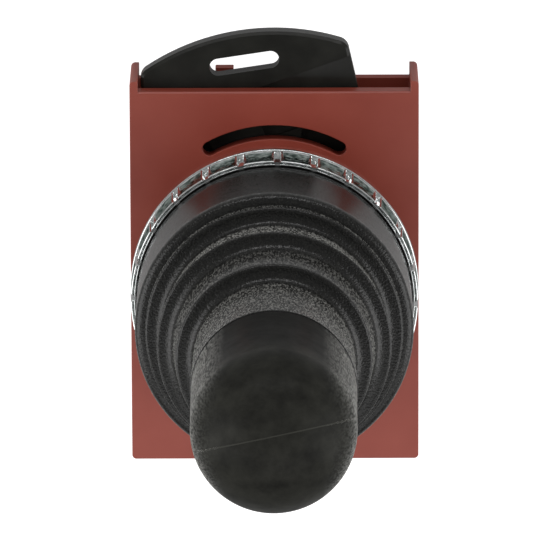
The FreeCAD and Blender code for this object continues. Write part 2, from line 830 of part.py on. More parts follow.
def adapter_housing():
    """One moulding: front plate, rear plate, side and bottom walls, open at the top."""
    body = box(-side_x, side_x, -adapter_bottom, adapter_top, adapter_rear_z, adapter_front_z)
    low_corners = [e for e in body.Edges if upright(e) and e.CenterOfMass.y < 0]
    body = body.makeFillet(adapter_corner_r, low_corners)
    for side in (-1, 1):
        outer = side * side_x
        inner = side * cavity_x
        wall = box(min(outer, inner), max(outer, inner), 0, wall_top, adapter_rear_z, adapter_front_z)
        top_corner = [e for e in wall.Edges
                      if upright(e) and near(e.CenterOfMass.y, wall_top) and near(e.CenterOfMass.x, outer)]
        body = body.fuse(wall.makeFillet(adapter_corner_r, top_corner))
    cavity = box(-cavity_x, cavity_x, bottom_wall_t - adapter_bottom, wall_top, cavity_rear_z, cavity_front_z)
    body = body.cut(cavity)
    body = body.cut(box(-cavity_x, cavity_x, adapter_top - rear_plate_drop, wall_top,
                        adapter_rear_z, cavity_rear_z))
    for side in (-1, 1):
        middle = side * tab_offset
        body = body.fuse(box(middle - tab_w / 2, middle + tab_w / 2,
                             neck_r, adapter_top - rear_plate_drop + tab_h, adapter_rear_z, cavity_rear_z))
    body = body.cut(disc(adapter_bore_r, adapter_rear_z, adapter_front_z))
    key_reach = neck_r - key_depth
    key = box(-key_w / 2, key_w / 2, key_reach, adapter_bore_r + key_w / 2, cavity_front_z, adapter_front_z)
    body = body.fuse(key)
    body = body.cut(curved_slot(window_r_in, window_r_out, cavity_front_z, adapter_front_z,
                                window_half_angle, 90))
    for place in thrust_screw_places():
        body = body.fuse(disc(thrust_boss_r, cavity_rear_z, cavity_front_z, place.x, place.y))
        body = body.cut(disc(thrust_screw_r, adapter_rear_z, adapter_front_z, place.x, place.y))
    upper_y = adapter_top - rear_plate_drop - hook_slot_edge - hook_slot_h
    lower_y = bottom_wall_t - adapter_bottom
    for column in (-1, 0, 1):
        middle = column * hook_slot_pitch
        for low in (upper_y, lower_y):
            body = body.cut(box(middle - hook_slot_w / 2, middle + hook_slot_w / 2, low, low + hook_slot_h,
                                adapter_rear_z, cavity_rear_z))
    body = body.removeSplitter()
    front_edge = [e for e in body.Edges
                  if near(e.CenterOfMass.z, adapter_front_z) and near(e.CenterOfMass.y, adapter_top)]
    return body.makeChamfer(adapter_bevel, front_edge)


def latch_outline(z0, z1):
    """The finger's outline: an arc about the axis between two nearly upright sides."""
    root_y = math.sqrt(latch_ring_r ** 2 - latch_half_w_root ** 2)
    left_tip = vec(-latch_half_w_tip, latch_tip_y, z0)
    right_tip = vec(latch_half_w_tip, latch_tip_y, z0)
    left_root = vec(-latch_half_w_root, root_y, z0)
    right_root = vec(latch_half_w_root, root_y, z0)
    edges = [
        Part.makeLine(left_root, left_tip),
        Part.Arc(left_tip, vec(0, latch_tip_r, z0), right_tip).toShape(),
        Part.makeLine(right_tip, right_root),
        Part.makeLine(right_root, left_root),
    ]
    blank = Part.Face(Part.Wire(edges)).extrude(UP * (z1 - z0))
    corners = [e for e in blank.Edges if upright(e) and near(e.CenterOfMass.y, latch_tip_y)]
    return blank.makeFillet(latch_corner_r, corners)


def latch_lever():
    """Ring round the neck with inner lugs, and the finger that swings it."""
    finger_rear_z = latch_front_z - latch_finger_t
    finger = latch_outline(finger_rear_z, latch_front_z)
    rim = [e for e in finger.Edges
           if near(e.CenterOfMass.z, latch_front_z) and e.CenterOfMass.y > latch_ring_r]
    finger = finger.makeChamfer(latch_bevel, rim)
    body = finger.fuse(disc(latch_ring_r, latch_rear_z, latch_front_z))
    body = body.cut(disc(latch_bore_r, latch_rear_z, latch_front_z))
    lug_top = latch_front_z - lug_inset
    for i in range(lug_count):
        middle = lug_phase + i * 360 / lug_count - latch_rest_angle
        body = body.fuse(sector(bayonet_r - lug_depth, latch_bore_r + lug_play, lug_top - lug_t, lug_top,
                                middle - lug_angle / 2, middle + lug_angle / 2))
    half = latch_slot_len / 2 - latch_slot_w / 2
    slot = box(-half, half, latch_slot_r - latch_slot_w / 2, latch_slot_r + latch_slot_w / 2,
               finger_rear_z, latch_front_z)
    for side in (-1, 1):
        slot = slot.fuse(disc(latch_slot_w / 2, finger_rear_z, latch_front_z, side * half, latch_slot_r))
    body = body.cut(slot)
    for side in (-1, 1):
        start = 90 + side * latch_pocket_angle
        stop = start + side * latch_pocket_span
        body = body.cut(sector(latch_bore_r + latch_pocket_inset, window_r_out + latch_pocket_over,
                               latch_front_z - latch_pocket_depth, latch_front_z,
                               min(start, stop), max(start, stop)))
    facet = box(0, latch_half_w_root, latch_facet_r - 2 * latch_ring_w, latch_facet_r,
                latch_front_z - latch_facet_depth, latch_front_z)
    facet.rotate(vec(0, latch_facet_r), UP, latch_facet_angle)
    body = body.cut(facet.common(latch_outline(finger_rear_z, latch_front_z)))
    return turned(body.removeSplitter(), latch_rest_angle)


def parts():
    """Every node's name with its shape."""
    yield "adapter_housing", adapter_housing()
    yield "thrust_screws", thrust_screws()
    yield "latch_lever", latch_lever()
    yield "operator_bushing", operator_bushing()
    yield "bezel_ring", bezel_ring()
    yield "panel_gasket", panel_gasket()
    yield "boot_clamp_ring", boot_clamp_ring()
    yield "clamp_screws", Part.makeCompound([clamp_screw(place) for place in clamp_screw_places()])
    yield "rubber_boot", rubber_boot()
    yield "centering_spring", centering_spring()
    yield "gimbal_outer_pins", gimbal_outer_pins()
    yield "stroke_limit_plate", stroke_limit_plate()
    yield "base_cap", base_cap()
    yield "cap_screws", cap_screws()
    yield "gimbal_ring", gimbal_ring()
    yield "gimbal_inner_pins", gimbal_inner_pins()
    yield "lever_hub", lever_hub()
    yield "lever_shaft", lever_shaft()
    yield "spring_collar", spring_collar()
    yield "retaining_clip", retaining_clip()
    yield "actuator_plate", actuator_plate()
    yield "plate_nut", plate_nut()
    yield "knob", knob()
    yield "knob_insert", knob_insert()
    for name, place in plunger_places():
        yield "plunger_" + name, at(plunger(), place.x, place.y)
        yield "plunger_spring_" + name, at(plunger_spring(), place.x, place.y)


os.makedirs("parts", exist_ok=True)
for node, shape in parts():
    shape.exportStep("parts/" + node + ".step")
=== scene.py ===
import math
import bmesh
import bpy
import numpy as np
from mathutils import Matrix, Vector


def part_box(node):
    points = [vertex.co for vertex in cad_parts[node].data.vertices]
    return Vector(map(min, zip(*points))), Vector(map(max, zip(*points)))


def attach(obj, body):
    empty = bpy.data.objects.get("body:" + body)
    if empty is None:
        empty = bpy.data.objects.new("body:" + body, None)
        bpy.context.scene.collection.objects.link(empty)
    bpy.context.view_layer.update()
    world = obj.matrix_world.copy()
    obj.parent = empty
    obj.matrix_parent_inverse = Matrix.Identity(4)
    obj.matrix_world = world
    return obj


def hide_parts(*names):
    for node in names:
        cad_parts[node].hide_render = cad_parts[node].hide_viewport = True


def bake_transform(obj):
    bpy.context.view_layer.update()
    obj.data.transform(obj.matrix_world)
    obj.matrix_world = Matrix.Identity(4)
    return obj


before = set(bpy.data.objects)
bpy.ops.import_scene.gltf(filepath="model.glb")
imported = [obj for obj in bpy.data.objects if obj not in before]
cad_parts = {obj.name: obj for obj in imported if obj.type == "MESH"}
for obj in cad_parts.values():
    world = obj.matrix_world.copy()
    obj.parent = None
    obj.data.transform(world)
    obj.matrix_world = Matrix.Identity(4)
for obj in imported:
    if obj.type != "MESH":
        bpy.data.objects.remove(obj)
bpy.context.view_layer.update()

# Mounting adapter: one moulding of red-brown glass-filled polyamide, with a
# front plate, thin side walls and a rear plate. It goes on the neck from
# behind the panel, so it is the first thing of the whole in this file.
MM = 0.001
JOIN_DIST = 0.002
FLAT_ANGLE = 0.5
EDGE_ANGLE = 38.0
SMOOTH_ANGLE = 32.0


def srgb(code):
    """An sRGB hex colour as linear red, green, blue and alpha."""
    parts = np.array([int(code[i:i + 2], 16) for i in (0, 2, 4)]) / 255
    linear = np.where(parts <= 0.04045, parts / 12.92, ((parts + 0.055) / 1.055) ** 2.4)
    return (*linear.tolist(), 1.0)


def add_node(tree, kind, settings=None, links=None):
    """One shader node with its settings, by attribute or input name, and the sockets that feed it."""
    node = tree.nodes.new(kind)
    for name, value in (settings or {}).items():
        if name in node.inputs:
            node.inputs[name].default_value = value
        else:
            setattr(node, name, value)
    for name, source in (links or {}).items():
        tree.links.new(source, node.inputs[name])
    return node


def new_material(name, settings):
    """A material with one Principled shader, returned with its tree, shader and object coordinates."""
    material = bpy.data.materials.new(name)
    material.use_nodes = True
    tree = material.node_tree
    tree.nodes.clear()
    shader = add_node(tree, "ShaderNodeBsdfPrincipled", settings)
    add_node(tree, "ShaderNodeOutputMaterial", links={"Surface": shader.outputs["BSDF"]})
    coords = add_node(tree, "ShaderNodeTexCoord").outputs["Object"]
    return material, tree, shader, coords


def per_mm(size):
    """The scale of a noise pattern whose features are size millimetres wide."""
    return 1 / (size * MM)


def dress(piece, material):
    """Puts one material on every face of a piece."""
    piece.data.materials.clear()
    piece.data.materials.append(material)


def cad_copy(node, name, keep_above=None, keep_below=None):
    """A copy of a CAD node with its loose triangles joined, cut off at a height in millimetres if given."""
    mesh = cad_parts[node].data.copy()
    work = bmesh.new()
    work.from_mesh(mesh)
    bmesh.ops.remove_doubles(work, verts=work.verts, dist=JOIN_DIST * MM)
    for height, below in ((keep_above, False), (keep_below, True)):
        if height is not None:
            bmesh.ops.bisect_plane(work, geom=work.verts[:] + work.edges[:] + work.faces[:],
                                   plane_co=(0, 0, height * MM), plane_no=(0, 0, 1),
                                   clear_outer=below, clear_inner=not below)
            bmesh.ops.holes_fill(work, edges=[e for e in work.edges if e.is_boundary])
    bmesh.ops.dissolve_limit(work, angle_limit=math.radians(FLAT_ANGLE), verts=work.verts, edges=work.edges)
    work.to_mesh(mesh)
    work.free()
    piece = bpy.data.objects.new(name, mesh)
    bpy.context.scene.collection.objects.link(piece)
    return piece


def softened(node, width, body):
    """A copy of a CAD node with its edges rounded by width millimetres, in place of the node."""
    piece = cad_copy(node, node + "_moulded")
    mesh = piece.data
    bevel = piece.modifiers.new("edges", "BEVEL")
    bevel.width = width * MM
    bevel.segments = 2
    bevel.limit_method = "ANGLE"
    bevel.angle_limit = math.radians(EDGE_ANGLE)
    bevel.harden_normals = False
    mesh.shade_smooth()
    mesh.set_sharp_from_angle(angle=math.radians(SMOOTH_ANGLE))
    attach(piece, body)
    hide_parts(node)
    return piece


# Moulded polyamide: a satin skin with faint clouds in the colour from the glass
# fibre, and a fine spark-eroded grain that breaks up the highlights.
polyamide_red, tree, shader, coords = new_material(
    "polyamide_red_brown", {"Roughness": 0.42, "IOR": 1.53, "Specular IOR Level": 0.5})
clouds = add_node(tree, "ShaderNodeTexNoise", {"Scale": per_mm(6.0), "Detail": 4.0}, {"Vector": coords})
tint = add_node(tree, "ShaderNodeValToRGB", links={"Fac": clouds.outputs["Fac"]})
tint.color_ramp.elements[0].position = 0.3
tint.color_ramp.elements[0].color = srgb("823325")
tint.color_ramp.elements[1].position = 0.72
tint.color_ramp.elements[1].color = srgb("8c3d2f")
tree.links.new(tint.outputs["Color"], shader.inputs["Base Color"])
grain = add_node(tree, "ShaderNodeTexNoise", {"Scale": per_mm(0.18), "Detail": 2.0}, {"Vector": coords})
relief = add_node(tree, "ShaderNodeBump", {"Strength": 0.12, "Distance": 0.03 * MM},
                  {"Height": grain.outputs["Fac"]})
tree.links.new(relief.outputs["Normal"], shader.inputs["Normal"])
adapter = softened("adapter_housing", 0.12, "adapter")
dress(adapter, polyamide_red)

# Thrust screws: two slotted set screws of zinc-plated steel, screwed from the
# rear through bosses of the adapter to press on the back of the panel. The
# other screws, the pins, the gimbal and the lever have the same plating.
# Zinc plate: a pale grey metal with a soft, uneven satin from the turning.
zinc_steel, tree, shader, coords = new_material(
    "zinc_plated_steel", {"Base Color": srgb("b9bbbb"), "Metallic": 1.0})
turning = add_node(tree, "ShaderNodeTexNoise", {"Scale": per_mm(0.3), "Detail": 3.0}, {"Vector": coords})
satin = add_node(tree, "ShaderNodeMapRange", {"To Min": 0.28, "To Max": 0.45},
                 {"Value": turning.outputs["Fac"]})
tree.links.new(satin.outputs["Result"], shader.inputs["Roughness"])
for name in ("thrust_screws", "clamp_screws", "cap_screws", "gimbal_ring", "gimbal_outer_pins",
             "gimbal_inner_pins", "lever_hub", "lever_shaft", "spring_collar", "actuator_plate",
             "plate_nut", "stroke_limit_plate"):
    dress(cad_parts[name], zinc_steel)

# Latch lever: black polyamide moulding whose ring turns on the neck and whose
# slotted finger stands out of the open top of the adapter. Its skin is smoother
# than the adapter's, near black, with the same faint clouds.
polyamide_black, tree, shader, coords = new_material(
    "polyamide_black", {"Roughness": 0.26, "IOR": 1.53, "Specular IOR Level": 0.12})
clouds = add_node(tree, "ShaderNodeTexNoise", {"Scale": per_mm(3.0), "Detail": 4.0}, {"Vector": coords})
tint = add_node(tree, "ShaderNodeValToRGB", links={"Fac": clouds.outputs["Fac"]})
tint.color_ramp.elements[0].position = 0.3
tint.color_ramp.elements[0].color = srgb("1a1a18")
tint.color_ramp.elements[1].position = 0.75
tint.color_ramp.elements[1].color = srgb("262623")
tree.links.new(tint.outputs["Color"], shader.inputs["Base Color"])
grain = add_node(tree, "ShaderNodeTexNoise", {"Scale": per_mm(0.15), "Detail": 2.0}, {"Vector": coords})
relief = add_node(tree, "ShaderNodeBump", {"Strength": 0.12, "Distance": 0.02 * MM},
                  {"Height": grain.outputs["Fac"]})
tree.links.new(relief.outputs["Normal"], shader.inputs["Normal"])
latch = softened("latch_lever", 0.15, "latch")
dress(latch, polyamide_black)

# Bushing, base cap and boot clamp: black polyamide mouldings that carry the
# gimbal, guide the plungers and hold the boot's foot in the bezel.
for name, width in (("operator_bushing", 0.06), ("base_cap", 0.08)):
    piece = softened(name, width, "operator")
    dress(piece, polyamide_black)
dress(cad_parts["boot_clamp_ring"], polyamide_black)

# Springs and clip: drawn spring steel, greyer than the plated parts. A conical
# coil on the clamp ring centres the lever, four small coils push the plungers
# up, and the clip holds the conical coil's collar on the lever.
spring_wire, tree, shader, coords = new_material(
    "drawn_spring_steel", {"Base Color": srgb("8f9190"), "Metallic": 1.0})
drawing = add_node(tree, "ShaderNodeTexNoise", {"Scale": per_mm(0.2), "Detail": 2.0}, {"Vector": coords})
satin = add_node(tree, "ShaderNodeMapRange", {"To Min": 0.3, "To Max": 0.5},
                 {"Value": drawing.outputs["Fac"]})
tree.links.new(satin.outputs["Result"], shader.inputs["Roughness"])
dress(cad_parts["retaining_clip"], spring_wire)
COIL_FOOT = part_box("centering_spring")[0].z / MM
COIL_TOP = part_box("centering_spring")[1].z / MM
COIL_MIDDLE = (COIL_FOOT + COIL_TOP) / 2
coil_lower = cad_copy("centering_spring", "centering_coil_lower", keep_below=COIL_MIDDLE)
coil_upper = cad_copy("centering_spring", "centering_coil_upper", keep_above=COIL_MIDDLE)
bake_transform(coil_lower)
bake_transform(coil_upper)
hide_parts("centering_spring")
for piece in (coil_lower, coil_upper):
    dress(piece, spring_wire)
for side in ("right", "top", "left", "bottom"):
    coil = cad_copy("plunger_spring_" + side, "plunger_coil_" + side)
    dress(coil, spring_wire)
    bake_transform(coil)
    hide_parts("plunger_spring_" + side)

# Plungers: four moulded pins of natural acetal that slide in the base cap and
# press on the contact blocks. They are off-white and a little waxy, because
# some light goes into them.
acetal, tree, shader, coords = new_material(
    "acetal_natural", {"Roughness": 0.35, "IOR": 1.48, "Subsurface Weight": 0.1,
                       "Subsurface Scale": 0.5 * MM})
clouds = add_node(tree, "ShaderNodeTexNoise", {"Scale": per_mm(1.5), "Detail": 3.0}, {"Vector": coords})
tint = add_node(tree, "ShaderNodeValToRGB", links={"Fac": clouds.outputs["Fac"]})
tint.color_ramp.elements[0].color = srgb("dedbd0")
tint.color_ramp.elements[1].color = srgb("eae7de")
tree.links.new(tint.outputs["Color"], shader.inputs["Base Color"])
for name in ("plunger_right", "plunger_top", "plunger_left", "plunger_bottom"):
    dress(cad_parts[name], acetal)

# Knob insert: a threaded bush of turned brass with a groove, moulded into the
# stem of the handle and screwed on the lever's shaft. It is yellow, with the
# satin of the turning.
turned_brass, tree, shader, coords = new_material(
    "turned_brass", {"Base Color": srgb("c9a45a"), "Metallic": 1.0})
turning = add_node(tree, "ShaderNodeTexNoise", {"Scale": per_mm(0.3), "Detail": 2.0}, {"Vector": coords})
satin = add_node(tree, "ShaderNodeMapRange", {"To Min": 0.2, "To Max": 0.4},
                 {"Value": turning.outputs["Fac"]})
tree.links.new(satin.outputs["Result"], shader.inputs["Roughness"])
dress(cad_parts["knob_insert"], turned_brass)

# Bezel ring: die-cast zinc cup, chrome plated, with a flange at the panel, a
# fine groove, and a band of 24 framed pads between axial notches. It is pressed
# on the panel by the neck's flange, with the gasket under it.
BEZEL_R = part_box("bezel_ring")[1].x / MM
BEZEL_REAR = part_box("bezel_ring")[0].z / MM
BEZEL_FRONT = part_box("bezel_ring")[1].z / MM
BAND_STEP = 0.05
BAND_TAPER = 0.1
BAND_R_REAR = BEZEL_R - BAND_STEP
BAND_R_FRONT = BAND_R_REAR - BAND_TAPER
FLANGE_H = 1.5
GROOVE_W = 0.35
GROOVE_DEPTH = 0.3
GROOVE_LIP = 0.02
CUP_R = 14.14
NECK_HOLE_R = 11.35
CUP_FLOOR = 2.4
SEAT_Z = 0.9
SEAT_R = 14.25
NOTCHES = 24
NOTCH_W = 0.62
NOTCH_DEPTH = 0.45
NOTCH_PHASE = 1.4
NOTCH_WALL = 0.06
NOTCH_END = 0.05
PAD_EDGE = 0.12
PAD_COLUMNS = 8
FRAME_W = 0.17
FRAME_SLOPE = 0.12
RIM_W = 0.17
RIM_GROOVE = 0.28
RIM_EDGE = 0.05
CUP_EDGE = 0.08
BEZEL_CREASE = 50.0
PAD_SINK_REAR = 0.03
PAD_SINK_FRONT = 0.4
BAND_Z = BEZEL_REAR + FLANGE_H + GROOVE_W
BAND_L = BEZEL_FRONT - BAND_Z


def rounded_profile(points, steps=5):
    """A closed outline of (radius, height) points, rounded where a point has a third value, its reach.

    At a corner B between A and C the arc runs from B + t(A-B) to B + t(C-B), where t takes it
    that reach away from B, along P(s) = (1-s)^2 P0 + 2s(1-s) B + s^2 P1.
    """
    outline = []
    for i, point in enumerate(points):
        corner = np.array(point[:2], float)
        if len(point) == 2:
            outline.append(corner)
            continue
        before = np.array(points[i - 1][:2]) - corner
        after = np.array(points[(i + 1) % len(points)][:2]) - corner
        start = corner + before / np.linalg.norm(before) * point[2]
        end = corner + after / np.linalg.norm(after) * point[2]
        for s in np.linspace(0, 1, steps):
            outline.append((1 - s) ** 2 * start + 2 * s * (1 - s) * corner + s ** 2 * end)
    return np.array(outline)


def grid_mesh(name, points, close_rows=True):
    """A quad mesh from a grid of points (rows, columns, 3) in millimetres, its columns closed to a ring."""
    rows, columns = points.shape[:2]
    index = np.arange(rows * columns).reshape(rows, columns)
    index = np.hstack([index, index[:, :1]])
    if close_rows:
        index = np.vstack([index, index[:1]])
    corners = [index[:-1, :-1], index[:-1, 1:], index[1:, 1:], index[1:, :-1]]
    quads = np.stack(corners, axis=-1).reshape(-1, 4)
    mesh = bpy.data.meshes.new(name)
    mesh.vertices.add(rows * columns)
    mesh.vertices.foreach_set("co", (points.reshape(-1) * MM).astype(np.float32))
    mesh.loops.add(quads.size)
    mesh.loops.foreach_set("vertex_index", quads.reshape(-1).astype(np.int32))
    mesh.polygons.add(len(quads))
    mesh.polygons.foreach_set("loop_start", np.arange(0, quads.size, 4, dtype=np.int32))
    mesh.update()
    mesh.validate()
    piece = bpy.data.objects.new(name, mesh)
    bpy.context.scene.collection.objects.link(piece)
    return piece


def finished(piece, crease=180.0):
    """Closes a mesh's ends, points its faces outwards and shades it smooth up to an angle."""
    work = bmesh.new()
    work.from_mesh(piece.data)
    bmesh.ops.holes_fill(work, edges=[e for e in work.edges if e.is_boundary])
    bmesh.ops.recalc_face_normals(work, faces=work.faces)
    work.to_mesh(piece.data)
    work.free()
    piece.data.shade_smooth()
    piece.data.set_sharp_from_angle(angle=math.radians(crease))
    return piece


def ring_points(profile, angles):
    """The grid of a profile turned round the lever's axis: x = r cos a, y = r sin a."""
    a = np.radians(angles)[None, :]
    r = profile[:, :1]
    return np.stack([r * np.cos(a), r * np.sin(a), profile[:, 1:] + 0 * a], axis=-1)


def ramp(value, start, width):
    """0 up to start, then a straight rise to 1 over width."""
    return np.clip((value - start) / width, 0, 1)


# rows along the band and columns round it, close together where a frame slopes down to its pad
frame_rows = [PAD_EDGE + 0.02, FRAME_W, FRAME_W + FRAME_SLOPE / 2, FRAME_W + FRAME_SLOPE]
band_rows = frame_rows + [BAND_L / 2] + [BAND_L - v for v in reversed(frame_rows)]
bezel_profile = rounded_profile(
    [(NECK_HOLE_R, SEAT_Z), (SEAT_R, SEAT_Z), (SEAT_R, BEZEL_REAR), (BEZEL_R, BEZEL_REAR, PAD_EDGE),
     (BEZEL_R, BEZEL_REAR + FLANGE_H, PAD_EDGE),
     (BEZEL_R - GROOVE_DEPTH, BEZEL_REAR + FLANGE_H + GROOVE_LIP),
     (BAND_R_REAR - GROOVE_DEPTH, BAND_Z - GROOVE_LIP), (BAND_R_REAR, BAND_Z, PAD_EDGE)]
    + [(BAND_R_REAR + (BAND_R_FRONT - BAND_R_REAR) * v / BAND_L, BAND_Z + v) for v in band_rows]
    + [(BAND_R_FRONT, BEZEL_FRONT, PAD_EDGE), (BAND_R_FRONT - RIM_W, BEZEL_FRONT, RIM_EDGE),
       (CUP_R + 1.3 * RIM_W, BEZEL_FRONT - RIM_GROOVE), (CUP_R + RIM_W, BEZEL_FRONT, RIM_EDGE),
       (CUP_R, BEZEL_FRONT, CUP_EDGE), (CUP_R, CUP_FLOOR), (NECK_HOLE_R, CUP_FLOOR)])
pitch = 360 / NOTCHES
per_degree = math.radians(BAND_R_REAR)
steps_out = np.array([-NOTCH_WALL, 0.0, 0.05, 0.1, FRAME_W, FRAME_W + FRAME_SLOPE / 2,
                      FRAME_W + FRAME_SLOPE])
half = (NOTCH_W / 2 + steps_out) / per_degree
across = np.concatenate([-half[::-1], half, np.linspace(half[-1], pitch - half[-1], PAD_COLUMNS)[1:-1]])
beside = np.minimum(np.abs(across), pitch - np.abs(across)) * per_degree - NOTCH_W / 2
notch_share = np.tile(1 - ramp(beside, -NOTCH_WALL, 2 * NOTCH_WALL), NOTCHES)[None, :]
pad_share = np.tile(ramp(beside, FRAME_W, FRAME_SLOPE), NOTCHES)[None, :]
angles = (90 - NOTCH_PHASE + across[None, :] + pitch * np.arange(NOTCHES)[:, None]).reshape(-1)
# a notch is sunk evenly, and a pad more and more towards the front, inside its frame
along = bezel_profile[:, 1:] - BAND_Z
on_band = (along > 0) & (bezel_profile[:, :1] > BAND_R_FRONT - PAD_EDGE)
framed = on_band * ramp(along, FRAME_W, FRAME_SLOPE) * ramp(BAND_L - along, FRAME_W, FRAME_SLOPE)
notched = on_band * ramp(along, 0.0, NOTCH_END)
pad_sink = PAD_SINK_REAR + (PAD_SINK_FRONT - PAD_SINK_REAR) * along / BAND_L
sunk = NOTCH_DEPTH * notched * notch_share + pad_sink * framed * pad_share
grid = ring_points(bezel_profile, angles)
grid[..., :2] *= 1 - (sunk / bezel_profile[:, :1])[..., None]
bezel = grid_mesh("bezel_chrome", grid)
finished(bezel, BEZEL_CREASE)
deep = (framed * pad_share).reshape(-1) > 0.99
corners = np.zeros(len(bezel.data.loops), dtype=np.int32)
bezel.data.loops.foreach_get("vertex_index", corners)
on_pad = deep[corners].reshape(-1, 4).all(axis=1)


def chrome_plate(name, low, high, edge, roughness, ripple_size, ripple_h):
    """Chrome on cast zinc: a mirror with a faint haze and the casting's ripple, its sizes in millimetres."""
    material, tree, shader, coords = new_material(
        name, {"Metallic": 1.0, "Roughness": roughness, "Specular Tint": srgb(edge)})
    haze = add_node(tree, "ShaderNodeTexNoise", {"Scale": per_mm(0.6), "Detail": 4.0}, {"Vector": coords})
    tint = add_node(tree, "ShaderNodeValToRGB", links={"Fac": haze.outputs["Fac"]})
    tint.color_ramp.elements[0].position = 0.38
    tint.color_ramp.elements[0].color = srgb(low)
    tint.color_ramp.elements[1].position = 0.62
    tint.color_ramp.elements[1].color = srgb(high)
    tree.links.new(tint.outputs["Color"], shader.inputs["Base Color"])
    ripple = add_node(tree, "ShaderNodeTexNoise", {"Scale": per_mm(ripple_size), "Detail": 2.0},
                      {"Vector": coords})
    relief = add_node(tree, "ShaderNodeBump", {"Strength": 1.0, "Distance": ripple_h * MM},
                      {"Height": ripple.outputs["Fac"]})
    tree.links.new(relief.outputs["Normal"], shader.inputs["Normal"])
    return material


# the frames, rims and flange were polished before plating, and the pads keep the skin of the casting; the
# pads' darker green-grey is also a painted reflection of the dark latch and adapter that they mirror
dress(bezel, chrome_plate("chrome_plate_bright", "c9cdcc", "e8eaea", "ffffff", 0.1, 0.8, 0.004))
bezel.data.materials.append(chrome_plate("chrome_plate_cast_skin_painted_reflection", "4e5854", "bcc5c1", "b4bbb8", 0.1,
                                          0.45, 0.05))
bezel.data.polygons.foreach_set("material_index", on_pad.astype(np.int32))
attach(bezel, "operator")
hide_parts("bezel_ring")

# Gasket: moulded ring of black nitrile rubber between the bezel and the panel.
# The boot has the same rubber, smooth up to its shoulder, and above it with the
# fine grain of a spark-eroded mould, whose tips catch the light as pale specks.
GRAIN_START_Z = 17.5
GRAIN_RAMP = 1.0
GRAIN_W = 0.18
GRAIN_DRAW = 0.3


def skin_grain(tree, coords, width, roughness):
    """Noise for a mould's grain, width millimetres wide and drawn out along the lever's axis.

    The height is multiplied by GRAIN_DRAW before the noise is read, because steep walls show it shortened.
    """
    drawn = add_node(tree, "ShaderNodeVectorMath", {"operation": "MULTIPLY"}, {0: coords})
    drawn.inputs[1].default_value = (1.0, 1.0, GRAIN_DRAW)
    return add_node(tree, "ShaderNodeTexNoise",
                    {"Scale": per_mm(width), "Detail": 1.0, "Roughness": roughness},
                    {"Vector": drawn.outputs["Vector"]})


rubber, tree, shader, coords = new_material(
    "nitrile_rubber_grained", {"IOR": 1.5, "Sheen Roughness": 0.3, "Sheen Tint": srgb("e9e8e2")})
specks = skin_grain(tree, coords, GRAIN_W, 0.6)
tint = add_node(tree, "ShaderNodeValToRGB", links={"Fac": specks.outputs["Fac"]})
tint.color_ramp.elements[0].position = 0.42
tint.color_ramp.elements[0].color = srgb("10100f")
tint.color_ramp.elements[1].position = 0.7
tint.color_ramp.elements[1].color = srgb("1e1e1c")
tree.links.new(tint.outputs["Color"], shader.inputs["Base Color"])
satin = add_node(tree, "ShaderNodeMapRange",
                 {"From Min": 0.3, "From Max": 0.7, "To Min": 0.26, "To Max": 0.14},
                 {"Value": specks.outputs["Fac"]})
tree.links.new(satin.outputs["Result"], shader.inputs["Roughness"])
height = add_node(tree, "ShaderNodeSeparateXYZ", links={"Vector": coords})
grained = add_node(tree, "ShaderNodeMapRange",
                   {"From Min": GRAIN_START_Z * MM, "From Max": (GRAIN_START_Z + GRAIN_RAMP) * MM},
                   {"Value": height.outputs["Z"]})
shine = add_node(tree, "ShaderNodeMapRange", {"To Min": 0.18, "To Max": 0.3},
                 {"Value": grained.outputs["Result"]})
tree.links.new(shine.outputs["Result"], shader.inputs["Specular IOR Level"])
tips = add_node(tree, "ShaderNodeMapRange", {"From Min": 0.42, "From Max": 0.62, "To Max": 0.85},
                {"Value": specks.outputs["Fac"]})
bloom = add_node(tree, "ShaderNodeMath", {"operation": "MULTIPLY"},
                 {0: tips.outputs["Result"], 1: grained.outputs["Result"]})
tree.links.new(bloom.outputs["Value"], shader.inputs["Sheen Weight"])
relief = add_node(tree, "ShaderNodeBump", {"Distance": 0.05 * MM},
                  {"Strength": grained.outputs["Result"], "Height": specks.outputs["Fac"]})
tree.links.new(relief.outputs["Normal"], shader.inputs["Normal"])
dress(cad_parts["panel_gasket"], rubber)

# Boot: one moulding of black rubber with a shoulder, three sharp-edged folds
# and a long neck. It is built in two parts that meet in a fold.
BOOT_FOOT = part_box("rubber_boot")[0].z / MM
BOOT_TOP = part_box("rubber_boot")[1].z / MM
BOOT_R = 14.04
FOOT_GAP = 0.05
WALL = 1.0
SHOULDER_WALL = 1.6
SHOULDER_ROUND = 1.05
SHOULDER_Z = 18.9
CREST_B = (12.96, 19.95)
CREST_C = (11.74, 25.3)
CREST_D = (9.75, 30.75)
FOLD_B_R = 12.94
FOLD_C_R = 11.15
FOLD_D_R = 10.1
NECK_R = 8.0
NECK_TOP_R = 8.2
NECK_BORE_R = 6.6
STEP_BELOW = 0.3
STEP_ABOVE = 0.1
CREST_ROUND = 0.35
FOLD_ROUND = 0.05
LIP_ROUND = 0.15
VALLEY = 1.2
SPLIT_R = FOLD_C_R + 1.05 * VALLEY
SPLIT_Z = CREST_B[1]
STEPS_ROUND = 320
ARC_STEPS = 9
SMOOTH_CREASE = 60.0


def crest(point):
    """A fold's outer edge with the small radius that the mould gives it."""
    return (*point, CREST_ROUND)


